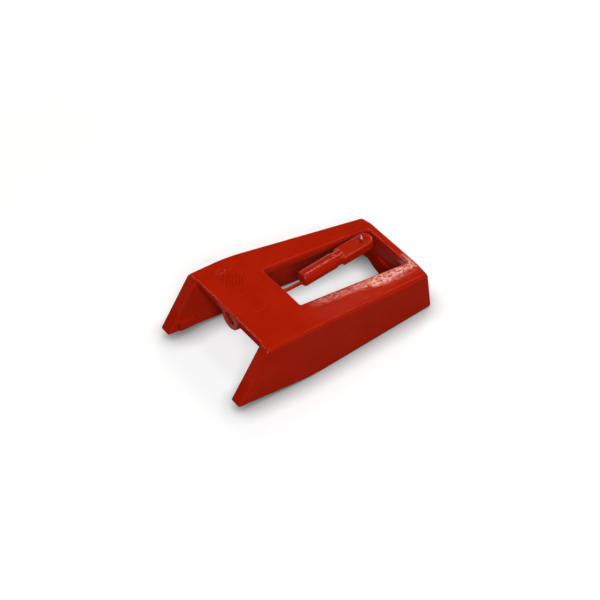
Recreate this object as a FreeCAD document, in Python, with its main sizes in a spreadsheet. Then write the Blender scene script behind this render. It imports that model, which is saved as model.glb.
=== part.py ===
import FreeCAD, Part
import Sketcher
import os

# A clip-on turntable stylus: a moulded carrier with a window, and a cantilever
# that swings in a rubber bush under the carrier's rear edge and holds a jewel tip.
# Millimetres. +X runs from the carrier's open tail to its nose, +Z is the way the
# tip points, and the origin is under the middle of the carrier on the resting plane.

doc = FreeCAD.newDocument("turntable_stylus")
sheet = doc.addObject("Spreadsheet::Sheet", "Sizes")

driving_sizes = {
    # Carrier outline
    "body_length": 19.7,
    "body_width": 11.0,
    "front_width": 8.8,
    "front_lean": 0.55,
    "tail_reach": 2.85,
    "bend_from_rear": 3.4,
    "plate_height": 5.07,
    "nose_height": 3.81,
    "nose_edge_height": 3.47,
    "ridge_spacing": 6.4,
    "tail_lift": 0.62,
    "rest_length": 11.75,
    "edge_round": 0.35,
    "corner_round": 0.5,
    # Carrier walls
    "skirt_wall": 1.15,
    "plate_wall": 0.65,
    "front_wall": 0.85,
    # Window
    "window_start": 5.1,
    "front_bar": 0.8,
    "window_width": 4.96,
    # Clip pads inside the skirts' tails
    "pad_inset": 0.98,
    "pad_length": 1.62,
    "pad_lift": 0.05,
    "pad_height": 0.85,
    "pad_proud": 0.2,
    # Latch lug inside the front wall
    "lug_width": 6.0,
    "lug_height": 1.6,
    "lug_proud": 0.45,
    # Pivot barrel, bush and shank
    "pivot_from_rear": 0.9,
    "pivot_depth": 0.79,
    "shank_rise": 0.7,
    "barrel_radius": 1.1,
    "barrel_length": 1.6,
    "bush_radius": 0.5,
    "bush_length": 1.0,
    "bush_play": 0.06,
    "shank_radius": 0.15,
    "shank_length": 6.07,
    "shank_play": 0.06,
    "shank_root": 0.4,
    "tail_head_radius": 0.3,
    "tail_head_length": 0.2,
    # Swing that the channel under the plate leaves room for, in degrees
    "up_swing": 0.5,
    "side_swing": 3.0,
    # Cantilever arm
    "rod_offset": 0.33,
    "rod_rise": 7.2,
    "rod_radius": 0.65,
    "rod_length": 3.2,
    "rod_chamfer": 0.1,
    "neck_radius": 0.58,
    "neck_length": 0.33,
    "paddle_length": 3.27,
    "paddle_width": 1.45,
    "paddle_top": 0.38,
    "paddle_bottom": 0.42,
    "tip_inset": 0.9,
    "seat_radius": 0.42,
    "seat_depth": 0.08,
    # Jewel tip
    "tip_radius": 0.13,
    "tip_collar": 0.14,
    "tip_cone": 0.44,
    "tip_point_radius": 0.025,
    "tip_play": 0.01,
    # How far the cutting solids reach past what they cut
    "overcut": 0.1,
}

for row, (alias, size) in enumerate(driving_sizes.items(), start=1):
    sheet.set(f"A{row}", alias)
    sheet.set(f"B{row}", str(size))
    sheet.setAlias(f"B{row}", alias)
doc.recompute()

along_y = FreeCAD.Vector(0, 1, 0)
upright = FreeCAD.Rotation()
side_plane = FreeCAD.Rotation(FreeCAD.Vector(1, 0, 0), 90)
cross_plane = FreeCAD.Rotation(FreeCAD.Vector(1, 1, 1), 120)
z_turned_to_x = FreeCAD.Rotation(along_y, 90)

# Stations along the carrier
nose_x = "(Sizes.body_length / 2)"
tail_x = f"(-{nose_x})"
rear_x = f"({tail_x} + Sizes.tail_reach)"
bend_x = f"({rear_x} + Sizes.bend_from_rear)"
window_x = f"({rear_x} + Sizes.window_start)"
lean_per_height = "(Sizes.front_lean / Sizes.nose_height)"
tail_lean_per_height = "(Sizes.tail_reach / (Sizes.plate_height - Sizes.tail_lift))"
loft_start = f"({tail_x} - Sizes.overcut)"
loft_end = f"({nose_x} + Sizes.overcut)"
past_nose = f"(Sizes.overcut / ({nose_x} - {bend_x}))"

# Widths and heights of the carrier
rear_half = "(Sizes.body_width / 2)"
end_half = f"(Sizes.front_width / 2 - (Sizes.body_width - Sizes.front_width) / 2 * {past_nose})"
ridge_fall = "(Sizes.plate_height - Sizes.nose_height)"
headroom = "(Sizes.plate_height + Sizes.overcut)"

# How far down a quarter round its middle lies, as a share of the radius
mid_arc = "(1 - cos(45deg))"

# Pivot and arm stations
pivot_x = f"({rear_x} + Sizes.pivot_from_rear)"
pivot_z = "(Sizes.plate_height - Sizes.pivot_depth)"
pivot_to_window = "(Sizes.window_start - Sizes.pivot_from_rear)"
rise_cos = "cos(Sizes.shank_rise * 1deg)"
rise_sin = "sin(Sizes.shank_rise * 1deg)"
arm_x = f"({pivot_x} + Sizes.shank_length * {rise_cos})"
arm_z = f"({pivot_z} + Sizes.shank_length * {rise_sin} + Sizes.rod_offset)"


def bind(thing, bindings):
    for prop, expression in bindings.items():
        thing.setExpression(prop, expression)
    return thing


def place(thing, x="0", y="0", z="0", turn=upright):
    thing.Placement = FreeCAD.Placement(FreeCAD.Vector(), turn)
    return bind(thing, {"Placement.Base.x": x, "Placement.Base.y": y, "Placement.Base.z": z})


def place_in_pivot(thing):
    # The pivot frame: its X follows the shank, which rises towards the nose
    place(thing, pivot_x, "0", pivot_z, FreeCAD.Rotation(along_y, -1))
    return bind(thing, {"Placement.Rotation.Angle": "-Sizes.shank_rise"})


def place_in_arm(thing):
    # The arm frame: its origin is the middle of the rod's rear end
    place(thing, arm_x, "0", arm_z, FreeCAD.Rotation(along_y, -1))
    return bind(thing, {"Placement.Rotation.Angle": "-Sizes.rod_rise"})


def polygon(name, corners, x="0", turn=upright):
    sketch = doc.addObject("Sketcher::SketchObject", name)
    place(sketch, x, turn=turn)
    points = []
    for first, second in corners:
        points.append(FreeCAD.Vector(sheet.evalExpression(first), sheet.evalExpression(second), 0))
    count = len(points)
    for index in range(count):
        sketch.addGeometry(Part.LineSegment(points[index], points[(index + 1) % count]), False)
    for index in range(count):
        sketch.addConstraint(Sketcher.Constraint("Coincident", index, 2, (index + 1) % count, 1))
    for index, corner in enumerate(corners):
        for axis, expression in zip(("DistanceX", "DistanceY"), corner):
            here = sheet.evalExpression(expression)
            number = sketch.addConstraint(Sketcher.Constraint(axis, -1, 1, index, 1, here))
            sketch.setExpression(f"Constraints[{number}]", expression)
    return sketch


def box(name, length, width, height, x, y, z):
    solid = bind(doc.addObject("Part::Box", name), {"Length": length, "Width": width, "Height": height})
    return place(solid, x, y, z)


def cylinder(name, radius, height, x="0", y="0", z="0", turn=z_turned_to_x):
    solid = bind(doc.addObject("Part::Cylinder", name), {"Radius": radius, "Height": height})
    return place(solid, x, y, z, turn)


def cone(name, first_radius, second_radius, height, x="0", z="0", turn=z_turned_to_x):
    solid = doc.addObject("Part::Cone", name)
    bind(solid, {"Radius1": first_radius, "Radius2": second_radius, "Height": height})
    return place(solid, x, "0", z, turn)


def fuse(name, solids):
    union = doc.addObject("Part::MultiFuse", name)
    union.Shapes = solids
    union.Refine = True
    return union


def framed(name, solid):
    # A group of one, so that the solid can be drawn in a frame and the frame placed
    group = doc.addObject("Part::Compound", name)
    group.Links = [solid]
    return group


def common(name, solids):
    overlap = doc.addObject("Part::MultiCommon", name)
    overlap.Shapes = solids
    return overlap


def cut(name, base, tool):
    remainder = doc.addObject("Part::Cut", name)
    remainder.Base = base
    remainder.Tool = tool
    remainder.Refine = True
    return remainder


def extruded(name, sketch, length):
    solid = doc.addObject("Part::Extrusion", name)
    solid.Base = sketch
    solid.DirMode = "Normal"
    solid.Solid = True
    solid.Symmetric = True
    return bind(solid, {"LengthFwd": length})


def crown_block():
    # The top: level over the tail, then falling to the nose, with a ridge along each side
    # of the window and an outer facet that rolls over the edge and on past the sides
    ridge = "(Sizes.ridge_spacing / 2)"
    turned = f"(Sizes.edge_round * {mid_arc})"
    steepness = f"((1 - {mid_arc}) / {mid_arc})"

    def section(label, station, half_width, edge_height, ridge_height):
        rise = f"({ridge_height} - {edge_height}) / ({half_width} - {ridge})"
        outside = f"({half_width} + Sizes.overcut)"
        over_edge = [
            (ridge, ridge_height),
            (f"({half_width} - Sizes.edge_round)", f"{edge_height} + {rise} * Sizes.edge_round"),
            (f"({half_width} - {turned})", f"{edge_height} - {turned}"),
            (outside, f"{edge_height} - Sizes.edge_round - {steepness} * Sizes.overcut"),
            (outside, "-Sizes.overcut"),
        ]
        mirrored = [(f"-{y}", z) for y, z in reversed(over_edge)]
        return polygon(f"section_at_{label}", mirrored + over_edge, station, cross_plane)

    rear_top = "Sizes.plate_height"
    end_edge = f"(Sizes.nose_edge_height - (Sizes.plate_height - Sizes.nose_edge_height) * {past_nose})"
    end_ridge = f"(Sizes.nose_height - {ridge_fall} * {past_nose})"
    block = doc.addObject("Part::Loft", "crown_block")
    block.Sections = [
        section("tail", loft_start, rear_half, rear_top, rear_top),
        section("bend", bend_x, rear_half, rear_top, rear_top),
        section("nose", loft_end, end_half, end_edge, end_ridge),
    ]
    block.Solid = True
    block.Ruled = True
    return block


def plan_block(name, wall):
    # The outline seen from above, set in by a wall
    rear = f"({rear_half} - {wall})"
    end = f"({end_half} - {wall})"
    corners = [
        (loft_start, f"-{rear}"),
        (bend_x, f"-{rear}"),
        (loft_end, f"-{end}"),
        (loft_end, end),
        (bend_x, rear),
        (loft_start, rear),
    ]
    return extruded(f"{name}_block", polygon(name, corners), f"2 * {headroom} + Sizes.overcut")


def side_block():
    # The side outline: slanted tail, lifted heel, flat foot and leaning nose
    corners = [
        (tail_x, "Sizes.tail_lift"),
        (f"{nose_x} - Sizes.rest_length", "0"),
        (nose_x, "0"),
        (f"{nose_x} - {lean_per_height} * {headroom}", headroom),
        (f"{rear_x} + {tail_lean_per_height} * Sizes.overcut", headroom),
    ]
    sketch = polygon("side_outline", corners, turn=side_plane)
    return extruded("side_block", sketch, "Sizes.body_width + Sizes.overcut")


def hollow():
    # The space for the cartridge: open below and between the tails, closed by the plate
    # and by the front wall, which leans as its outside does
    wall_foot = f"({nose_x} - Sizes.front_wall)"
    roof = "(Sizes.plate_height - Sizes.plate_wall)"
    roof_fall = f"({ridge_fall} / ({nose_x} - {bend_x}))"
    level_front = f"({roof} - {roof_fall} * ({wall_foot} - {bend_x}))"
    front_roof = f"({level_front} / (1 - {roof_fall} * {lean_per_height}))"
    side_corners = [
        (loft_start, "-Sizes.overcut"),
        (f"{wall_foot} + {lean_per_height} * Sizes.overcut", "-Sizes.overcut"),
        (f"{wall_foot} - {lean_per_height} * {front_roof}", front_roof),
        (bend_x, roof),
        (rear_x, roof),
        (rear_x, headroom),
        (loft_start, headroom),
    ]
    side_sketch = polygon("hollow_side", side_corners, turn=side_plane)
    side = extruded("hollow_side_block", side_sketch, "Sizes.body_width")
    return common("hollow", [side, plan_block("hollow_plan", "Sizes.skirt_wall")])


def rounded(solid):
    # The two leaning corners at the nose
    doc.recompute()
    radius = sheet.get("corner_round")
    nose = sheet.evalExpression(nose_x)
    lean = sheet.evalExpression(lean_per_height)
    half = sheet.get("front_width") / 2
    picked = []
    for number, edge in enumerate(solid.Shape.Edges, start=1):
        middle = edge.valueAt((edge.FirstParameter + edge.LastParameter) / 2)
        on_nose = abs(middle.x - nose + lean * middle.z) < radius / 100
        if on_nose and abs(middle.y) > half - radius:
            picked.append((number, radius, radius))
    soft = doc.addObject("Part::Fillet", "rounded_nose")
    soft.Base = solid
    soft.Edges = picked
    return soft


def clip_pad(side):
    inner_face = f"({rear_half} - Sizes.skirt_wall)"
    depth = "(Sizes.pad_proud + Sizes.skirt_wall / 2)"
    near_face = f"{inner_face} - Sizes.pad_proud"
    y = near_face if side == "left" else f"-({near_face}) - {depth}"
    x = f"{tail_x} + Sizes.pad_inset"
    z = "Sizes.tail_lift + Sizes.pad_lift"
    return box(f"clip_pad_{side}", "Sizes.pad_length", depth, "Sizes.pad_height", x, y, z)


def latch_lug():
    # A shallow bow across the foot of the front wall
    wall_face = f"({nose_x} - Sizes.front_wall)"
    bow_radius = "((Sizes.lug_width ^ 2 / 4 + Sizes.lug_proud ^ 2) / (2 * Sizes.lug_proud))"
    slab = box(
        "lug_slab",
        "Sizes.lug_proud + Sizes.front_wall / 2",
        "Sizes.lug_width",
        "Sizes.lug_height",
        f"{wall_face} - Sizes.lug_proud",
        "-Sizes.lug_width / 2",
        "0",
    )
    bow_x = f"{wall_face} - Sizes.lug_proud + {bow_radius}"
    bow = cylinder("lug_bow", bow_radius, "Sizes.lug_height", bow_x, turn=upright)
    return common("latch_lug", [slab, bow])


def make_carrier():
    sides = rounded(common("straight_sides", [side_block(), plan_block("outer_plan", "0")]))
    outer = common("carrier_block", [sides, crown_block()])
    shell = cut("shell", outer, hollow())

    barrel = cylinder("barrel", "Sizes.barrel_radius", "Sizes.barrel_length", "-Sizes.barrel_length / 2")
    barrel_in_place = place_in_pivot(framed("barrel_in_place", barrel))
    barrel_under_plate = common("barrel_under_plate", [barrel_in_place, outer])

    clips = [clip_pad("left"), clip_pad("right"), latch_lug()]
    moulding = fuse("moulding", [shell, barrel_under_plate] + clips)

    window_length = f"({nose_x} - Sizes.front_lean - Sizes.front_bar - {window_x})"
    roof_low = "(Sizes.nose_edge_height - Sizes.plate_wall - Sizes.overcut)"
    window = box(
        "window",
        window_length,
        "Sizes.window_width",
        f"Sizes.plate_height + Sizes.overcut - {roof_low}",
        window_x,
        "-Sizes.window_width / 2",
        roof_low,
    )
    bore = cylinder(
        "bore",
        "Sizes.bush_radius + Sizes.bush_play",
        "Sizes.barrel_length + 2 * Sizes.overcut",
        "-Sizes.barrel_length / 2 - Sizes.overcut",
    )
    shank_room = "(Sizes.shank_radius + Sizes.shank_play)"
    channel_half = f"({shank_room} + {pivot_to_window} * tan(Sizes.side_swing * 1deg))"
    channel_roof = f"({shank_room} + {pivot_to_window} * tan(Sizes.up_swing * 1deg))"
    channel = box(
        "channel",
        f"{pivot_to_window} + Sizes.overcut",
        f"2 * {channel_half}",
        f"{channel_roof} + Sizes.barrel_radius",
        "Sizes.barrel_length / 2",
        f"-{channel_half}",
        "-Sizes.barrel_radius",
    )
    shank_way = place_in_pivot(fuse("shank_way", [bore, channel]))
    return cut("carrier", moulding, fuse("openings", [window, shank_way]))


def make_bush():
    sleeve = cylinder("sleeve", "Sizes.bush_radius", "Sizes.bush_length", "-Sizes.bush_length / 2")
    hole = cylinder(
        "shank_hole",
        "Sizes.shank_radius + Sizes.shank_play",
        "Sizes.bush_length + 2 * Sizes.overcut",
        "-Sizes.bush_length / 2 - Sizes.overcut",
    )
    return place_in_pivot(cut("pivot_bush", sleeve, hole))


def make_cantilever():
    head_front = "(-Sizes.bush_length / 2 - Sizes.shank_play)"
    head_rear = f"({head_front} - Sizes.tail_head_length)"
    tail_head = cylinder("tail_head", "Sizes.tail_head_radius", "Sizes.tail_head_length", head_rear)
    shank = cylinder(
        "shank",
        "Sizes.shank_radius",
        f"Sizes.shank_length + Sizes.shank_root - {head_front}",
        head_front,
    )
    tail = place_in_pivot(fuse("tail", [tail_head, shank]))

    chamfer_end = "Sizes.rod_radius - Sizes.rod_chamfer"
    chamfer = cone("rod_chamfer", chamfer_end, "Sizes.rod_radius", "Sizes.rod_chamfer")
    rod = cylinder("rod", "Sizes.rod_radius", "Sizes.rod_length - Sizes.rod_chamfer", "Sizes.rod_chamfer")
    shoulder_start = "Sizes.rod_length"
    shoulder = cone("shoulder", "Sizes.rod_radius", "Sizes.neck_radius", "Sizes.rod_chamfer", shoulder_start)
    neck_start = "(Sizes.rod_length + Sizes.rod_chamfer)"
    neck = cylinder("neck", "Sizes.neck_radius", "Sizes.neck_length + Sizes.overcut", neck_start)

    paddle_start = f"({neck_start} + Sizes.neck_length)"
    round_radius = "(Sizes.paddle_width / 2)"
    round_middle = f"({paddle_start} + Sizes.paddle_length - {round_radius})"
    tip_station = f"({paddle_start} + Sizes.paddle_length - Sizes.tip_inset)"
    thickness = "(Sizes.paddle_top + Sizes.paddle_bottom)"
    underside = "-Sizes.paddle_bottom"
    slab_length = f"Sizes.paddle_length - {round_radius}"
    slab_side = f"-{round_radius}"
    slab = box("slab", slab_length, "Sizes.paddle_width", thickness, paddle_start, slab_side, underside)
    round_end = cylinder("paddle_end", round_radius, thickness, round_middle, "0", underside, upright)
    body = fuse("arm_body", [chamfer, rod, shoulder, neck, slab, round_end])
    tip_hole = cylinder(
        "tip_hole",
        "Sizes.tip_radius + Sizes.tip_play",
        f"{thickness} + 2 * Sizes.overcut",
        tip_station,
        "0",
        f"{underside} - Sizes.overcut",
        upright,
    )
    seat = cylinder(
        "tip_seat",
        "Sizes.seat_radius",
        "Sizes.seat_depth + Sizes.overcut",
        tip_station,
        "0",
        "Sizes.paddle_top - Sizes.seat_depth",
        upright,
    )
    arm = place_in_arm(cut("arm", body, fuse("tip_openings", [tip_hole, seat])))
    return fuse("cantilever", [tail, arm]), tip_station


def make_tip(station):
    collar_top = "(Sizes.paddle_top + Sizes.tip_collar)"
    collar = cylinder(
        "tip_collar",
        "Sizes.tip_radius",
        f"Sizes.paddle_bottom + {collar_top}",
        station,
        "0",
        "-Sizes.paddle_bottom",
        upright,
    )
    point = cone(
        "tip_point",
        "Sizes.tip_radius",
        "Sizes.tip_point_radius",
        "Sizes.tip_cone",
        station,
        collar_top,
        upright,
    )
    return place_in_arm(fuse("stylus_tip", [collar, point]))


cantilever, tip_place = make_cantilever()
sub_parts = [make_carrier(), make_bush(), cantilever, make_tip(tip_place)]
doc.recompute()

for thing in doc.Objects:
    if "Invalid" in thing.State or "Error" in thing.State:
        raise RuntimeError(f"{thing.Name} failed: {thing.State}")

for sub_part in sub_parts:
    shape = sub_part.Shape
    if shape.isNull() or not shape.isValid() or len(shape.Solids) != 1:
        raise RuntimeError(f"{sub_part.Label} is not one valid solid")

os.makedirs("parts", exist_ok=True)
for sub_part in sub_parts:
    shape = sub_part.Shape
    shape.exportStep(os.path.join("parts", f"{sub_part.Label}.step"))
    low = shape.BoundBox
    print(
        sub_part.Label,
        f"volume {shape.Volume:.3f}",
        f"x {low.XMin:.3f} {low.XMax:.3f}",
        f"y {low.YMin:.3f} {low.YMax:.3f}",
        f"z {low.ZMin:.3f} {low.ZMax:.3f}",
    )
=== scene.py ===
import math

import bmesh
import bpy
import numpy as np
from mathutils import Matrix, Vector


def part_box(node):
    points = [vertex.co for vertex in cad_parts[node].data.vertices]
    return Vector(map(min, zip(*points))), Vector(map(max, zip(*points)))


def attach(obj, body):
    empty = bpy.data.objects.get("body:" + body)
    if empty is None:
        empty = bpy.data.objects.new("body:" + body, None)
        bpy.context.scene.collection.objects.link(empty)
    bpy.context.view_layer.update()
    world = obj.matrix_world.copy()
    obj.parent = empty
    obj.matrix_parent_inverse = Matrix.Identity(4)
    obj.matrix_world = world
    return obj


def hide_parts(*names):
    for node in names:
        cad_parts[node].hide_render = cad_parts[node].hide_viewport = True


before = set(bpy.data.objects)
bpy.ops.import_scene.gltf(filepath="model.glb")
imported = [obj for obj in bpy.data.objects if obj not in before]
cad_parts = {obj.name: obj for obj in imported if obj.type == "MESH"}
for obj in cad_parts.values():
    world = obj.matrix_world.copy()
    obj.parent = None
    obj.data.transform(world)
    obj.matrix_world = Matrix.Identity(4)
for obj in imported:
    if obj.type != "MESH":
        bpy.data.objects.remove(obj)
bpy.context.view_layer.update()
scene = bpy.context.scene
scene.view_settings.view_transform = "Standard"
mm = 0.001
print("stylus: frame loaded")


# camera, measured from the photograph: places in millimetres, clip in metres

cameraSet = {
    "stands": (-70.53, -97.95, 112.54),
    "looksAt": (-0.5, 0.0, 2.15),
    "lens": 123.4,
    "sensor": 36,
    "shift": (0.0058, 0.0094),
    "clip": (0.005, 10),
}


def aimFrom(thing, stands, looksAt):  # a camera or a lamp
    spot = Vector(stands) * mm
    thing.location = spot
    thing.rotation_euler = (Vector(looksAt) * mm - spot).to_track_quat("-Z", "Y").to_euler()


def makeCamera():
    c = cameraSet
    data = bpy.data.cameras.new("stylusCamera")
    data.lens = c["lens"]
    data.sensor_width = c["sensor"]
    data.shift_x, data.shift_y = c["shift"]
    data.clip_start, data.clip_end = c["clip"]
    camera = bpy.data.objects.new("stylusCamera", data)
    scene.collection.objects.link(camera)
    aimFrom(camera, c["stands"], c["looksAt"])
    scene.camera = camera


makeCamera()
print("stylus: camera set")


# forms are written as distances in millimetres: below zero is inside the plastic

def roundMeet(radius, *parts):  # inside all of the parts, edges rounded off
    over = sum(np.maximum(part + radius, 0) ** 2 for part in parts)
    return np.minimum(np.maximum.reduce(np.broadcast_arrays(*parts)), -radius) + np.sqrt(over)


def roundJoin(radius, *parts):  # inside any of the parts, with a fillet between
    return -roundMeet(radius, *[-part for part in parts])


def softMax(width, first, second):  # for two faces that meet at a slight angle
    near = np.maximum(width - np.abs(first - second), 0) / width
    return np.maximum(first, second) + near * near * width / 4


def between(value, start, end):  # a slab from start to end
    return np.abs(value - (start + end) / 2) - (end - start) / 2


def offLine(u, v, start, end):  # distance to the left of a line from start to end
    du, dv = end[0] - start[0], end[1] - start[1]
    return ((v - start[1]) * du - (u - start[0]) * dv) / math.hypot(du, dv)


def turnedIn(points, place, rise):  # coordinates in a frame that leans up towards the nose
    x, z = points[..., 0] - place[0], points[..., 2] - place[1]
    lean = math.radians(rise)
    along = x * math.cos(lean) + z * math.sin(lean)
    up = z * math.cos(lean) - x * math.sin(lean)
    return along, points[..., 1], up


def slopeOf(form, points, step):
    around = []
    for axis in range(3):
        nudge = np.zeros(3)
        nudge[axis] = step
        around.append((form(points + nudge) - form(points - nudge)) / (2 * step))
    return np.stack(around, -1)


# a form's skin: grid cells that it crosses give the points, crossed grid edges give the quads

skinSet = {
    "margin": 2,  # spare cells outside the box
    "settleRounds": 4,
    "settleReach": 0.05,  # reaches are in grid steps
    "normalReach": 0.2,
    "leastSlope": 0.25,  # keeps a push finite where a form is nearly flat
    "leastNormal": 1e-9,
}


def cellPoints(field, axes, step):  # one point in each crossed cell, and each cell's point number
    cells = [n - 1 for n in field.shape]
    total = np.zeros(cells + [3])
    hits = np.zeros(cells)
    for axis in range(3):
        a, b = (k for k in range(3) if k != axis)
        for i, j in ((0, 0), (0, 1), (1, 0), (1, 1)):
            cut = [slice(0, n) for n in cells]
            cut[a] = slice(i, i + cells[a])
            cut[b] = slice(j, j + cells[b])
            first = field[tuple(cut)]
            cut[axis] = slice(1, 1 + cells[axis])
            second = field[tuple(cut)]
            crossed = (first < 0) != (second < 0)
            part = np.zeros(cells + [3])
            part[..., axis] = first / np.where(crossed, first - second, 1)
            part[..., a] = i
            part[..., b] = j
            total += part * crossed[..., None]
            hits += crossed
    used = hits > 0
    number = np.full(cells, -1)
    number[used] = np.arange(int(used.sum()))
    corner = np.stack(np.meshgrid(*[ticks[:-1] for ticks in axes], indexing="ij"), -1)
    return corner[used] + total[used] / hits[used][:, None] * step, number


def edgeQuads(inside, number):  # one quad round each crossed edge, facing out
    quads = []
    for axis in range(3):
        a, b = (axis + 1) % 3, (axis + 2) % 3
        span = [slice(1, n - 1) for n in inside.shape]
        span[axis] = slice(0, inside.shape[axis] - 1)
        ahead = list(span)
        ahead[axis] = slice(1, inside.shape[axis])
        into = inside[tuple(span)]
        crossed = into != inside[tuple(ahead)]
        at = np.argwhere(crossed)
        at[:, [a, b]] += 1
        ring = []
        for da, db in ((-1, -1), (0, -1), (0, 0), (-1, 0)):
            cell = at.copy()
            cell[:, a] += da
            cell[:, b] += db
            ring.append(number[tuple(cell.T)])
        ring = np.stack(ring, -1)
        turned = ~into[crossed]
        ring[turned] = ring[turned][:, ::-1]
        quads.append(ring)
    return np.concatenate(quads)


def skinMesh(name, form, low, high, step):
    s = skinSet
    counts = [int(math.ceil((b - a) / step)) + 2 * s["margin"] + 1 for a, b in zip(low, high)]
    axes = [a - s["margin"] * step + np.arange(n) * step for a, n in zip(low, counts)]
    field = form(np.stack(np.meshgrid(*axes, indexing="ij"), -1))
    points, number = cellPoints(field, axes, step)
    quads = edgeQuads(field < 0, number)
    for _ in range(s["settleRounds"]):  # settle the points on the true surface
        lean = slopeOf(form, points, step * s["settleReach"])
        push = form(points) / np.maximum((lean * lean).sum(-1), s["leastSlope"])
        points = points - np.clip(push, -step, step)[:, None] * lean
    points = np.clip(points, low, high)  # never outside the solid's own box
    lean = slopeOf(form, points, step * s["normalReach"])
    lean /= np.maximum(np.linalg.norm(lean, axis=-1, keepdims=True), s["leastNormal"])
    mesh = bpy.data.meshes.new(name)
    mesh.from_pydata((points * mm).tolist(), [], quads.tolist())
    mesh.update()
    mesh.shade_smooth()
    mesh.normals_split_custom_set_from_vertices(lean.tolist())
    return mesh


def addPiece(name, mesh, body, node, material):
    piece = bpy.data.objects.new(name, mesh)
    scene.collection.objects.link(piece)
    mesh.materials.append(material)
    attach(piece, body)
    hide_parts(node)
    mesh.calc_loop_triangles()
    print("stylus:", name, "has", len(mesh.loop_triangles), "triangles")


# shader maths: a socket that takes part in sums

class Wire:
    def __init__(self, tree, socket=None):
        self.tree = tree
        self.socket = socket

    def make(self, kind, settings=None, inputs=None, out=0):
        node = self.tree.nodes.new(kind)
        for name, value in (settings or {}).items():
            setattr(node, name, value)
        for name, value in (inputs or {}).items():
            if isinstance(value, Wire):
                self.tree.links.new(value.socket, node.inputs[name])
            else:
                node.inputs[name].default_value = value
        return Wire(self.tree, node.outputs[out])

    def maths(self, operation, *values):
        return self.make("ShaderNodeMath", {"operation": operation}, dict(enumerate(values)))

    def __add__(self, other):
        return self.maths("ADD", self, other)

    def __sub__(self, other):
        return self.maths("SUBTRACT", self, other)

    def __rsub__(self, other):
        return self.maths("SUBTRACT", other, self)

    def __mul__(self, other):
        return self.maths("MULTIPLY", self, other)

    def __truediv__(self, other):
        return self.maths("DIVIDE", self, other)

    def __pow__(self, other):
        return self.maths("POWER", self, other)

    __radd__ = __add__
    __rmul__ = __mul__

    def size(self):
        return self.maths("ABSOLUTE", self)

    def sine(self):
        return self.maths("SINE", self)

    def either(self, other):
        return self.maths("MAXIMUM", self, other)

    def fade(self, start, end):  # 0 before start, 1 after end
        settings = {"interpolation_type": "SMOOTHSTEP"}
        return self.make("ShaderNodeMapRange", settings, {"Value": self, "From Min": start, "From Max": end})

    def tint(self, first, second):  # from one colour to another, through a Mix node's colour sockets
        return self.make("ShaderNodeMix", {"data_type": "RGBA"}, {0: self, 6: first, 7: second}, 2)

    def split(self):  # a vector's three parts
        parts = self.make("ShaderNodeSeparateXYZ", None, {0: self}).socket.node
        return [Wire(self.tree, way) for way in parts.outputs]

    def noise(self, scale, detail):  # of a place
        return self.make("ShaderNodeTexNoise", None, {"Vector": self, "Scale": scale, "Detail": detail})

    def bump(self):  # of a height in millimetres
        return self.make("ShaderNodeBump", None, {"Strength": 1.0, "Distance": mm, "Height": self})


def placeInMm(tree):  # a place on a piece, which has the frame's own axes
    place = Wire(tree).make("ShaderNodeTexCoord", out="Object")
    return place.make("ShaderNodeVectorMath", {"operation": "SCALE"}, {0: place, "Scale": 1 / mm})


def linear(red, green, blue):  # a screen colour, 0 to 255, as the shader wants it
    shares = (v / 255 for v in (red, green, blue))
    return tuple(s / 12.92 if s < 0.04045 else ((s + 0.055) / 1.055) ** 2.4 for s in shares) + (1,)


def newMaterial(name, fixed):
    material = bpy.data.materials.new(name)
    material.use_nodes = True
    tree = material.node_tree
    shader = tree.nodes["Principled BSDF"]
    for socket, value in fixed.items():
        shader.inputs[socket].default_value = value
    return material, tree, shader


def plug(tree, shader, **links):
    for name, wire in links.items():
        tree.links.new(wire.socket, shader.inputs[name.replace("_", " ")])


# moulded red plastic: a fine blasted grain, faint clouding and the marks of the mould

redSet = {
    "colour": linear(173, 29, 3), "deep": linear(166, 26, 2),
    "cloudSize": 0.55, "cloudDetail": 3.0, "cloudFade": (0.3, 0.7),
    "roughness": 0.55, "roughSpread": 0.12, "specular": 0.01,
    "grainSize": 13.0, "grainDetail": 2.0, "grainDepth": 0.004,
    "coatRoughness": 0.22, "refraction": 1.5,
}


def redPlastic(name, settings, marks):
    s = settings
    material, tree, shader = newMaterial(name, {
        "IOR": s["refraction"],
        "Specular IOR Level": s["specular"],
        "Coat Roughness": s["coatRoughness"],
        "Coat IOR": s["refraction"],
    })
    place = placeInMm(tree)
    grain = place.noise(s["grainSize"], s["grainDetail"])
    cloud = place.noise(s["cloudSize"], s["cloudDetail"]).fade(*s["cloudFade"])
    rough = (grain - 0.5) * s["roughSpread"] + s["roughness"]
    height, coat = marks(place, grain, grain * s["grainDepth"])
    colour = cloud.tint(s["deep"], s["colour"])
    plug(tree, shader, Base_Color=colour, Roughness=rough, Coat_Weight=coat, Normal=height.bump())
    return material


# where the cantilever pivots, in x and z, and the shank's rise there in degrees

pivotSet = {"at": (-6.1, 4.28), "rise": 0.7}


# carrier: plate, skirts, nose wall, window, clip pads, latch lug and the bush's barrel

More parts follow.
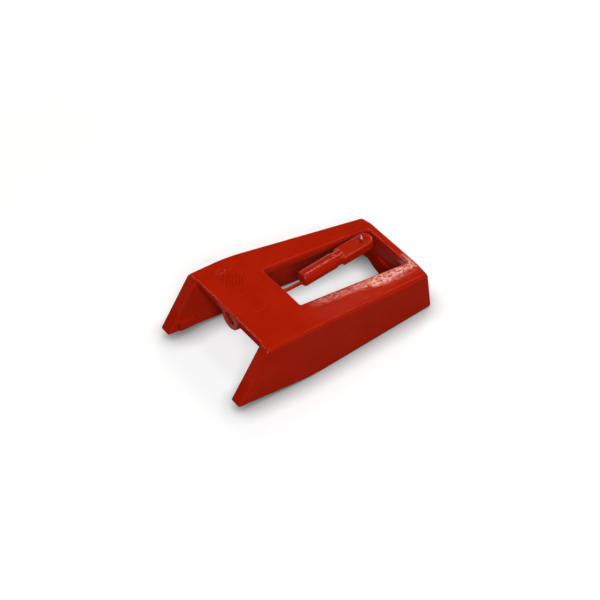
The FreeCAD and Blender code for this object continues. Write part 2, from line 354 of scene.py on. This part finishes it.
carrierSet = {
    "halfWidth": 5.5, "noseHalf": 4.4, "tail": -9.85, "rear": -7.0, "bend": -3.6, "nose": 9.85,
    "top": 5.07, "noseTop": 3.81, "noseEdge": 3.47, "noseLean": 0.55, "ridge": 3.2,
    "tailLift": 0.62, "footStart": -1.9,
    "skirtWall": 1.15, "plateWall": 0.65, "frontWall": 0.85,
    "bendSoft": 0.12, "slopeSoft": 0.14, "ridgeSoft": 0.05, "taperSoft": 0.08,
    "edgeRound": 0.34, "rimRound": 0.1, "innerRound": 0.2, "wallRound": 0.16, "rearRoll": 0.25,
    "draft": {"depth": 0.45, "height": 3.5, "start": -3.0, "run": 1.5},
    "window": {"start": -1.9, "end": 8.5, "half": 2.48, "corner": 0.12, "round": 0.06},
    "windowRoll": (0.2, 0.34),
    "gate": {"at": (-4.9, 4.08), "radius": 0.27, "width": 0.12, "depth": 0.1},
    "ring": {"at": (-4.87, -0.3), "radius": 1.15, "width": 0.12, "depth": 0.07},
    "barrel": {"radius": 1.1, "half": 0.8, "round": 0.12, "fillet": 0.15},
    "bore": {"radius": 0.56, "past": 0.3, "round": 0.05},
    "channel": {"start": 0.8, "end": 4.3, "half": 0.43, "below": 1.1, "above": 0.2467},
    "pad": {"start": -8.87, "end": -7.25, "inner": 4.15, "low": 0.67, "high": 1.52, "round": 0.07},
    "lug": {"proud": 0.45, "half": 3.0, "high": 1.6, "round": 0.1},
    "catchFillet": 0.06,
    "gridStep": 0.115,
}


def plateTop(x, side, z):  # level at the rear, then a slope to the nose with a facet along each side
    c = carrierSet
    past = softMax(c["bendSoft"], (x - c["bend"]) / (c["nose"] - c["bend"]), np.zeros_like(x))
    level = z - c["top"]
    slope = offLine(x, z, (c["bend"], c["top"]), (c["nose"], c["noseTop"]))
    facetWide = c["halfWidth"] - c["ridge"] - (c["halfWidth"] - c["noseHalf"]) * past
    fall = (c["noseTop"] - c["noseEdge"]) * past / facetWide
    facet = level + (c["top"] - c["noseTop"]) * past + fall * (side - c["ridge"])
    return softMax(c["ridgeSoft"], softMax(c["slopeSoft"], level, slope), facet / np.sqrt(1 + fall ** 2))


def noseFace(x, z, inset):  # leans back towards the top
    lean = carrierSet["noseLean"] / carrierSet["noseTop"]
    return (x - carrierSet["nose"] + inset + lean * z) / math.hypot(1, lean)


def carrierBlock(x, side, z, top):  # the outside, before it is hollowed
    c = carrierSet
    taper = offLine(x, side, (c["bend"], c["halfWidth"]), (c["nose"], c["noseHalf"]))
    flank = softMax(c["taperSoft"], side - c["halfWidth"], taper)
    tail = offLine(x, z, (c["tail"], c["tailLift"]), (c["rear"], c["top"]))
    lifted = -offLine(x, z, (c["tail"], c["tailLift"]), (c["footStart"], 0))
    block = roundMeet(c["edgeRound"], top, flank, noseFace(x, z, 0))
    return roundMeet(c["rimRound"], block, tail, np.maximum(-z, lifted))


def cartridgeBay(x, side, z):  # open below and at the tail
    c = carrierSet
    half, noseHalf = c["halfWidth"] - c["skirtWall"], c["noseHalf"] - c["skirtWall"]
    high, noseHigh = c["top"] - c["plateWall"], c["noseTop"] - c["plateWall"]
    flank = np.maximum(side - half, offLine(x, side, (c["bend"], half), (c["nose"], noseHalf)))
    d = c["draft"]  # the skirts thin towards the foot
    thinned = np.clip(1 - z / d["height"], 0, 1) * np.clip((x - d["start"]) / d["run"], 0, 1)
    flank = flank - d["depth"] * thinned
    roof = np.maximum(z - high, offLine(x, z, (c["bend"], high), (c["nose"], noseHigh)))
    bay = roundMeet(c["innerRound"], flank, roof, noseFace(x, z, c["frontWall"]))
    tailGap = roundMeet(c["rimRound"], x - c["rear"], flank)
    return roundJoin(c["rimRound"], bay, tailGap)


def plateGroove(x, y, groove):
    fromMiddle = np.hypot(x - groove["at"][0], y - groove["at"][1])
    return groove["depth"] * np.exp(-((fromMiddle - groove["radius"]) / groove["width"]) ** 2)


def clipPad(x, side, z, block):  # grips the cartridge inside each tail
    p = carrierSet["pad"]
    ends = between(x, p["start"], p["end"])
    edges = between(z, p["low"], p["high"])
    return roundMeet(p["round"], ends, p["inner"] - side, edges, block)


def latchLug(x, y, z, block):  # bowed, inside the nose wall
    g = carrierSet["lug"]
    wall = carrierSet["nose"] - carrierSet["frontWall"]
    bow = (g["half"] ** 2 + g["proud"] ** 2) / (2 * g["proud"])
    front = np.hypot(x - wall + g["proud"] - bow, y) - bow
    return roundMeet(g["round"], front, np.abs(y) - g["half"], between(z, 0, g["high"]), block)


def carrierForm(points):
    c = carrierSet
    x, y, z = points[..., 0], points[..., 1], points[..., 2]
    side = np.abs(y)
    top = plateTop(x, side, z)
    block = carrierBlock(x, side, z, top)
    solid = roundMeet(c["wallRound"], block, -cartridgeBay(x, side, z))
    rearEdge = roundMeet(c["rearRoll"], top, c["rear"] - x)  # rolled over between the skirts
    solid = np.maximum(solid, np.minimum(rearEdge, c["halfWidth"] - c["skirtWall"] - side))
    groove = plateGroove(x, y, c["gate"]) + plateGroove(x, y, c["ring"])
    solid = np.maximum(solid, z - c["top"] + groove)  # the gate's dimple and a plain witness ring

    u, v, w = turnedIn(points, pivotSet["at"], pivotSet["rise"])
    around = np.hypot(v, w)
    b = c["barrel"]
    barrel = roundMeet(b["round"], around - b["radius"], np.abs(u) - b["half"], block)
    solid = roundJoin(b["fillet"], solid, barrel)
    catches = np.minimum(clipPad(x, side, z, block), latchLug(x, y, z, block))
    solid = roundJoin(c["catchFillet"], solid, catches)

    h = c["window"]
    hole = roundMeet(h["corner"], between(x, h["start"], h["end"]), side - h["half"])
    solid = roundMeet(h["round"], solid, -hole)
    crisp, soft = c["windowRoll"]
    roll = crisp + (soft - crisp) * np.clip(y / h["half"], 0, 1)  # softer along the far edge
    solid = np.maximum(solid, roundMeet(roll, top, -hole))

    g = c["channel"]  # room for the shank under the plate
    channel = [g["start"] - u, u - g["end"], np.abs(v) - g["half"], w - g["above"], -w - g["below"]]
    bore = np.maximum(around - c["bore"]["radius"], np.abs(u) - b["half"] - c["bore"]["past"])
    return roundMeet(c["bore"]["round"], solid, -np.minimum(bore, np.maximum.reduce(channel)))


# marks of the mould and of use: most pairs are fades, from none to full, over a place, a facing or a noise

markSet = {
    "flowAt": (-4.6, 2.87), "flowSize": (1.5, 1.15), "flowEdge": (0.55, 1.0), "flowHeight": (4.6, 4.9),
    "flowWay": (0.81, -0.58), "flowPitch": 0.26, "flowDepth": 0.034,
    "wobble": 0.35, "wobbleSize": 1.4, "wobbleDetail": 1.0,
    "upper": (2.0, 2.6), "topGloss": 0.22, "rolled": (0.35, 0.75), "level": (0.9, 0.96),
    "flankGloss": 0.06, "sideways": (0.6, 0.9),
    "squareBack": (-0.9, -0.6), "slightBack": (-0.35, -0.15),
    "frontGloss": 0.07, "frontPlace": (7.8, 8.2), "frontHeight": (1.6, 2.2),
    "tailGloss": 0.5, "tailRolled": (0.6, 0.75),
    "barrelGloss": 0.3, "barrelPlace": (-6.6, -6.2), "barrelHalf": (1.2, 1.5),
    "gloss": 1.2, "glossStart": (-1.7, 0.1), "glossGrow": (2.0, 6.0), "glossFaint": 0.5,
    "glossOuter": (3.4, 3.8), "glossEdge": (-0.2, 0.35), "glossHeight": (3.0, 3.3), "nearBar": (-2.2, -1.2),
    "fleckSize": 5.0, "fleckDetail": 3.0, "fleckFade": (0.42, 0.58), "fleckDepth": (0.92, 0.85),
    "blotchSize": 1.3, "blotchDetail": 2.0, "blotchFade": (0.35, 0.6), "blotchDepth": 0.25,
    "strayFleck": 0.04, "strayStart": (-2.2, -1.6), "strayLevel": (0.8, 0.93),
}


def flowLines(place, x, y, z):  # ripples in the plate where the plastic came in
    m = markSet
    fromMiddle = [((way - at) / size) ** 2 for way, at, size in zip((x, y), m["flowAt"], m["flowSize"])]
    patch = 1 - ((fromMiddle[0] + fromMiddle[1]) ** 0.5).fade(*m["flowEdge"])
    wobble = place.noise(m["wobbleSize"], m["wobbleDetail"]) * m["wobble"]
    across = x * m["flowWay"][0] + y * m["flowWay"][1] + wobble
    wave = (across * (2 * math.pi / m["flowPitch"])).sine()
    return wave * patch * z.fade(*m["flowHeight"]) * m["flowDepth"]


def mouldGloss(facing, x, y, z):  # rolled edges and faces that keep the mould's gloss
    m = markSet
    forward, sideways, upward = facing
    rolled = upward.fade(*m["rolled"]) * (1 - upward.fade(*m["level"])) * z.fade(*m["upper"])
    coat = rolled * m["topGloss"] + sideways.size().fade(*m["sideways"]) * m["flankGloss"]
    backFace = 1 - forward.fade(*m["squareBack"])
    coat = coat + backFace * x.fade(*m["frontPlace"]) * z.fade(*m["frontHeight"]) * m["frontGloss"]
    tailEdge = (1 - forward.fade(*m["slightBack"])) * upward.fade(*m["tailRolled"])
    coat = coat + tailEdge * z.fade(*m["upper"]) * m["tailGloss"]
    onBarrel = (1 - x.fade(*m["barrelPlace"])) * (1 - y.size().fade(*m["barrelHalf"]))
    return coat + backFace * onBarrel * m["barrelGloss"]


def rubbedGloss(place, upward, x, y, z):  # the near bar is rubbed shiny, in flecks where the grain stands up
    m = markSet
    grown = x.fade(*m["glossGrow"])
    nearBar = 1 - y.fade(*m["nearBar"])
    narrow, wide = m["glossOuter"]
    edge = (y + narrow + grown * (wide - narrow)).fade(*m["glossEdge"])
    rubbed = edge * x.fade(*m["glossStart"]) * nearBar * z.fade(*m["glossHeight"])
    fleck = place.noise(m["fleckSize"], m["fleckDetail"]).fade(*m["fleckFade"])
    blotch = place.noise(m["blotchSize"], m["blotchDetail"]).fade(*m["blotchFade"])
    shallow, deep = m["fleckDepth"]
    pitted = 1 - (1 - fleck) * (grown * (deep - shallow) + shallow)
    worn = grown * (1 - m["glossFaint"]) + m["glossFaint"]
    patchy = blotch * m["blotchDepth"] + (1 - m["blotchDepth"])
    stray = fleck * x.fade(*m["strayStart"]) * nearBar * upward.fade(*m["strayLevel"])
    return rubbed * worn * pitted * patchy * m["gloss"] + stray * m["strayFleck"]


def carrierMarks(place, grain, height):
    x, y, z = place.split()
    facing = place.make("ShaderNodeNewGeometry", out="Normal").split()
    coat = mouldGloss(facing, x, y, z) + rubbedGloss(place, facing[2], x, y, z)
    return height + flowLines(place, x, y, z), coat


def makeCarrier():
    c = carrierSet
    low = (c["tail"], -c["halfWidth"], 0)
    high = (c["nose"], c["halfWidth"], c["top"])
    mesh = skinMesh("carrierSkin", carrierForm, low, high, c["gridStep"])
    material = redPlastic("redCarrier", redSet, carrierMarks)
    addPiece("carrierShell", mesh, "carrier", "carrier", material)


makeCarrier()


# cantilever: tail head, shank, rod and the flattened paddle with the tip's seat

armSet = {
    "shankRun": 6.07, "shankRoot": 0.4, "shankRadius": 0.15, "shankFillet": 0.06,
    "head": {"start": -0.76, "end": -0.56, "radius": 0.3, "round": 0.05, "fillet": 0.04},
    "rodOffset": 0.33, "rise": 7.2,
    "rod": {"length": 3.25, "radius": 0.65, "round": 0.16, "fillet": 0.08},
    "neck": {"radius": 0.58, "sunk": 0.3},
    "paddle": {"start": 3.63, "end": 6.175, "half": 0.725, "above": 0.38, "below": 0.42},
    "paddleRound": 0.14, "rootRound": 0.1,
    "tip": 6.0, "seat": {"radius": 0.42, "depth": 0.08, "round": 0.04}, "hole": 0.14,
    "gridStep": 0.055,
}

armFinish = {  # where it differs from the carrier's red, and its gloss on top
    "roughness": 0.5, "roughSpread": 0.2, "specular": 0.02, "grainSize": 9.0, "grainDepth": 0.003,
    "glossGrain": (0.42, 0.6), "glossLeast": 0.1, "glossGrow": 0.85, "glossUpward": (0.5, 0.8),
}


def rodStart():  # up from the shank's end to the rod's own axis
    lean = math.radians(pivotSet["rise"])
    x, z = pivotSet["at"]
    run = armSet["shankRun"]
    return x + run * math.cos(lean), z + run * math.sin(lean) + armSet["rodOffset"]


def shankForm(points):
    a = armSet
    h = a["head"]
    u, v, w = turnedIn(points, pivotSet["at"], pivotSet["rise"])
    around = np.hypot(v, w)
    shank = np.maximum(around - a["shankRadius"], between(u, h["end"], a["shankRun"] + a["shankRoot"]))
    head = roundMeet(h["round"], around - h["radius"], between(u, h["start"], h["end"]))
    return roundJoin(h["fillet"], shank, head)


def rodForm(points):
    a = armSet
    r, n, p, s = a["rod"], a["neck"], a["paddle"], a["seat"]
    u, v, w = turnedIn(points, rodStart(), a["rise"])
    around = np.hypot(v, w)
    rod = roundMeet(r["round"], around - r["radius"], -u, u - r["length"])
    neckEnds = np.maximum(r["length"] - n["sunk"] - u, u - p["start"] - n["sunk"])
    neck = np.maximum(around - n["radius"], neckEnds)
    roundEnd = np.hypot(np.maximum(u - p["end"], 0), v) - p["half"]
    plan = roundMeet(a["rootRound"], roundEnd, p["start"] - u)
    paddle = roundMeet(a["paddleRound"], plan, w - p["above"], -w - p["below"])
    arm = roundJoin(r["fillet"], rod, neck, paddle)
    fromTip = np.hypot(u - a["tip"], v)
    seat = np.maximum(fromTip - s["radius"], p["above"] - s["depth"] - w)
    return np.maximum(roundMeet(s["round"], arm, -seat), a["hole"] - fromTip)


def armForm(points):
    return roundJoin(armSet["shankFillet"], shankForm(points), rodForm(points))


def armMarks(place, grain, height):
    f = armFinish
    upward = place.make("ShaderNodeNewGeometry", out="Normal").split()[2]
    gloss = grain.fade(*f["glossGrain"]) * f["glossGrow"] + f["glossLeast"]
    return height, gloss * upward.fade(*f["glossUpward"])


def makeArm():
    low, high = (tuple(v / mm for v in corner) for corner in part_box("cantilever"))
    mesh = skinMesh("armSkin", armForm, low, high, armSet["gridStep"])
    material = redPlastic("redArm", redSet | armFinish, armMarks)
    addPiece("cantileverArm", mesh, "arm", "cantilever", material)


makeArm()


# turned pieces: an outline of radius and height, spun round an axis that leans with the arm

def turnedMesh(name, outline, place, rise, upright, around):
    lean = math.radians(rise)
    along = Vector((math.cos(lean), 0, math.sin(lean)))
    up = Vector((-math.sin(lean), 0, math.cos(lean)))
    across = Vector((0, 1, 0))
    axis, first, second = (up, along, across) if upright else (along, across, up)
    origin = Vector((place[0], 0, place[1]))
    closed = outline[0] == outline[-1]  # a sleeve, with no caps
    made = bmesh.new()
    loops = []
    for radius, height in outline[:-1] if closed else outline:
        loop = []
        for k in range(around):
            turn = 2 * math.pi * k / around
            spot = origin + axis * height
            spot = spot + first * (radius * math.cos(turn)) + second * (radius * math.sin(turn))
            loop.append(made.verts.new(spot * mm))
        loops.append(loop)
    if closed:
        loops.append(loops[0])
    for lower, upper in zip(loops, loops[1:]):
        for k in range(around):
            after = (k + 1) % around
            made.faces.new((lower[k], lower[after], upper[after], upper[k]))
    if not closed:
        made.faces.new(loops[0])
        made.faces.new(loops[-1])
    bmesh.ops.recalc_face_normals(made, faces=made.faces)
    mesh = bpy.data.meshes.new(name)
    made.to_mesh(mesh)
    made.free()
    mesh.shade_smooth()
    return mesh


bushSet = {
    "outer": 0.552, "inner": 0.165, "half": 0.5, "soft": 0.05, "waist": 0.03, "steps": 4, "around": 48,
    "cornerShare": 0.3,
    "dark": linear(36, 8, 8), "light": linear(58, 17, 15), "refraction": 1.5,
    "bloomSize": 5.0, "bloomDetail": 4.0, "bloomDepth": 0.01, "roughness": 0.6, "roughSpread": 0.2,
}


def bushOutline():
    b = bushSet
    corner = b["soft"] * b["cornerShare"]
    outline = []
    for out, base in ((1, b["outer"]), (-1, b["inner"])):  # barrel-shaped outside, flared bore
        for k in range(-b["steps"], b["steps"] + 1):
            share = k / b["steps"]
            outline.append((base - out * b["waist"] * share ** 2, out * share * (b["half"] - b["soft"])))
        end = base - out * b["waist"]
        outline.append((end - out * corner, out * (b["half"] - corner)))
        outline.append((end - out * b["soft"], out * b["half"]))
    return outline + outline[:1]


def makeBush():
    b = bushSet
    mesh = turnedMesh("bushSleeve", bushOutline(), pivotSet["at"], pivotSet["rise"], False, b["around"])
    material, tree, shader = newMaterial("bushRubber", {"IOR": b["refraction"]})
    bloom = placeInMm(tree).noise(b["bloomSize"], b["bloomDetail"])
    colour = bloom.tint(b["dark"], b["light"])
    rough = bloom * b["roughSpread"] + b["roughness"]
    plug(tree, shader, Base_Color=colour, Roughness=rough, Normal=(bloom * b["bloomDepth"]).bump())
    addPiece("bushSleeve", mesh, "bush", "pivot_bush", material)


makeBush()

jewelSet = {
    "radius": 0.13, "foot": -0.42, "collar": (0.0, 0.3), "shoulder": 0.52, "point": 0.96,
    "chamfer": 0.02, "shoulderIn": 0.012, "coneSteps": 8, "around": 40,
    "pointRadius": 0.025, "capHeight": 0.03, "capTurns": (25, 43, 61, 79),
    "refraction": 1.77, "clear": 0.2, "specular": 0.3,
    # the lower part of the stone is painted the red of the plastic around it, a painted reflection; the pale
    # stone colour shows only at the point, where it also serves as a painted glint
    "warm": linear(232, 190, 178), "pale": linear(250, 222, 212), "paintedRedReflection": linear(150, 48, 34),
    "paintedGlintFrom": (5.95, 6.12),
    "polishSize": 9.0, "polishDetail": 2.0, "roughness": 0.06, "roughSpread": 0.12,
}


def jewelOutline():
    j = jewelSet
    outline = [(j["radius"] - j["chamfer"], j["foot"]), (j["radius"], j["foot"] + j["chamfer"])]
    outline += [(j["radius"], height) for height in (*j["collar"], j["shoulder"] - j["chamfer"])]
    outline.append((j["radius"] - j["shoulderIn"], j["shoulder"]))
    capFoot = j["point"] - j["capHeight"]
    for k in range(1, j["coneSteps"]):
        share = k / j["coneSteps"]
        radius = j["radius"] + (j["pointRadius"] - j["radius"]) * share
        outline.append((radius, j["shoulder"] + (capFoot - j["shoulder"]) * share))
    turns = [math.radians(turn) for turn in j["capTurns"]]
    for turn in turns:  # the point is rounded over
        height = capFoot + j["capHeight"] * math.sin(turn) / math.sin(turns[-1])
        outline.append((j["pointRadius"] * math.cos(turn), height))
    return outline


def makeJewel():
    j = jewelSet
    rise, along = armSet["rise"], armSet["tip"]
    x, z = rodStart()
    foot = (x + along * math.cos(math.radians(rise)), z + along * math.sin(math.radians(rise)))
    mesh = turnedMesh("jewelTip", jewelOutline(), foot, rise, True, j["around"])
    material, tree, shader = newMaterial("jewel", {
        "IOR": j["refraction"],
        "Transmission Weight": j["clear"],
        "Specular IOR Level": j["specular"],
    })
    place = placeInMm(tree)
    polish = place.noise(j["polishSize"], j["polishDetail"])
    stone = polish.tint(j["warm"], j["pale"])
    # painted reflection and painted glint: the stone is painted red below the point and keeps its pale
    # colour only at the point
    colour = place.split()[2].fade(*j["paintedGlintFrom"]).tint(j["paintedRedReflection"], stone)  # takes on the red around it
    plug(tree, shader, Base_Color=colour, Roughness=polish * j["roughSpread"] + j["roughness"])
    addPiece("jewelTip", mesh, "arm", "stylus_tip", material)


makeJewel()
print("stylus: pieces made")


# pale floor: white to the camera, with a painted contact shadow where the part stands on it, grey to the
# light that it throws back

floorSet = {
    "half": 600,
    "bounce": (0.18, 0.18, 0.18, 1),
    "white": 0.55, "paling": (30, 90),  # the glow's share near the part, and where it grows to all
    "paintedShadowReach": 1.9, "paintedShadowPower": 1.3, "paintedShadowSamples": 16,
    "glow": 1.12, "roughness": 0.9,
}


def raysOf(start):  # rays from the camera, off gloss and through glass
    rays = start.make("ShaderNodeLightPath").socket.node
    names = ("Is Camera Ray", "Is Glossy Ray", "Is Transmission Ray")
    return [Wire(start.tree, rays.outputs[name]) for name in names]


def makeFloor():
    f = floorSet
    made = bmesh.new()
    bmesh.ops.create_grid(made, x_segments=2, y_segments=2, size=f["half"] * mm)
    mesh = bpy.data.meshes.new("paleFloor")
    made.to_mesh(mesh)
    made.free()
    floor = bpy.data.objects.new("paleFloor", mesh)
    scene.collection.objects.link(floor)
    fixed = {"Roughness": f["roughness"], "Specular IOR Level": 0.0}
    material, tree, shader = newMaterial("paleFloor", fixed)
    start = Wire(tree)
    camera, glossy, through = raysOf(start)
    seen = camera.either(glossy).either(through)
    shade = {"Distance": f["paintedShadowReach"] * mm}
    # painted shadow: ambient occlusion darkens the floor's colour and its glow close to the part, a painted
    # contact shadow
    near = start.make("ShaderNodeAmbientOcclusion", {"samples": f["paintedShadowSamples"]}, shade, "AO")
    near = near ** f["paintedShadowPower"]
    plug(tree, shader, Base_Color=seen.tint(f["bounce"], near))
    glow = start.make("ShaderNodeEmission", None, {"Color": near, "Strength": f["glow"]})
    away = start.make("ShaderNodeTexCoord", out="Object")
    away = start.make("ShaderNodeVectorMath", {"operation": "LENGTH"}, {0: away}, "Value")
    white = away.fade(*(v * mm for v in f["paling"])) * (1 - f["white"]) + f["white"]
    lit = Wire(tree, shader.outputs[0])
    both = start.make("ShaderNodeMixShader", None, {0: seen * white, 1: lit, 2: glow})
    tree.links.new(both.socket, tree.nodes["Material Output"].inputs["Surface"])
    mesh.materials.append(material)


makeFloor()


# white room: plain white to the camera, dim to the part, and bright low down in what the part reflects

skySet = {"light": 0.1, "upperGloss": 0.01, "wall": (0.12, 0.55)}


def makeSky():
    world = bpy.data.worlds.new("whiteRoom")
    world.use_nodes = True
    scene.world = world
    tree = world.node_tree
    sky = tree.nodes["Background"]
    start = Wire(tree)
    camera, glossy, through = raysOf(start)
    up = start.make("ShaderNodeTexCoord", out="Generated").split()[2]
    wall = 1 - up.fade(*skySet["wall"]) * (1 - skySet["upperGloss"])
    shiny = glossy.either(through)
    strength = camera.either(shiny * wall + (1 - shiny) * skySet["light"])
    sky.inputs["Color"].default_value = (1, 1, 1, 1)
    tree.links.new(strength.socket, sky.inputs["Strength"])


makeSky()


# lamps: square, with places and sides in millimetres

lampSet = {
    "key": {"at": (-112, -200, 198), "aim": (0, 0, 2), "side": 85, "power": 0.65},
    "overhead": {"at": (70, -15, 290), "aim": (0, 0, 2), "side": 60, "power": 0.105},
    "far": {"at": (-68, 119, 146), "aim": (0, 0, 4), "side": 30, "power": 0.02},
    "right": {"at": (192, -20, 230), "aim": (0, 0, 2), "side": 85, "power": 0.07},
    "back": {"at": (119, 86, 126), "aim": (6, -3, 4), "side": 55, "power": 0.13, "colour": (1.0, 0.74, 0.6)},
}


def makeLamps():
    for name, lamp in lampSet.items():
        data = bpy.data.lights.new(name, "AREA")
        data.shape = "SQUARE"
        data.size = lamp["side"] * mm
        data.energy = lamp["power"]
        data.color = lamp.get("colour", (1, 1, 1))
        thing = bpy.data.objects.new(name, data)
        scene.collection.objects.link(thing)
        aimFrom(thing, lamp["at"], lamp["aim"])


makeLamps()
print("stylus: room made")
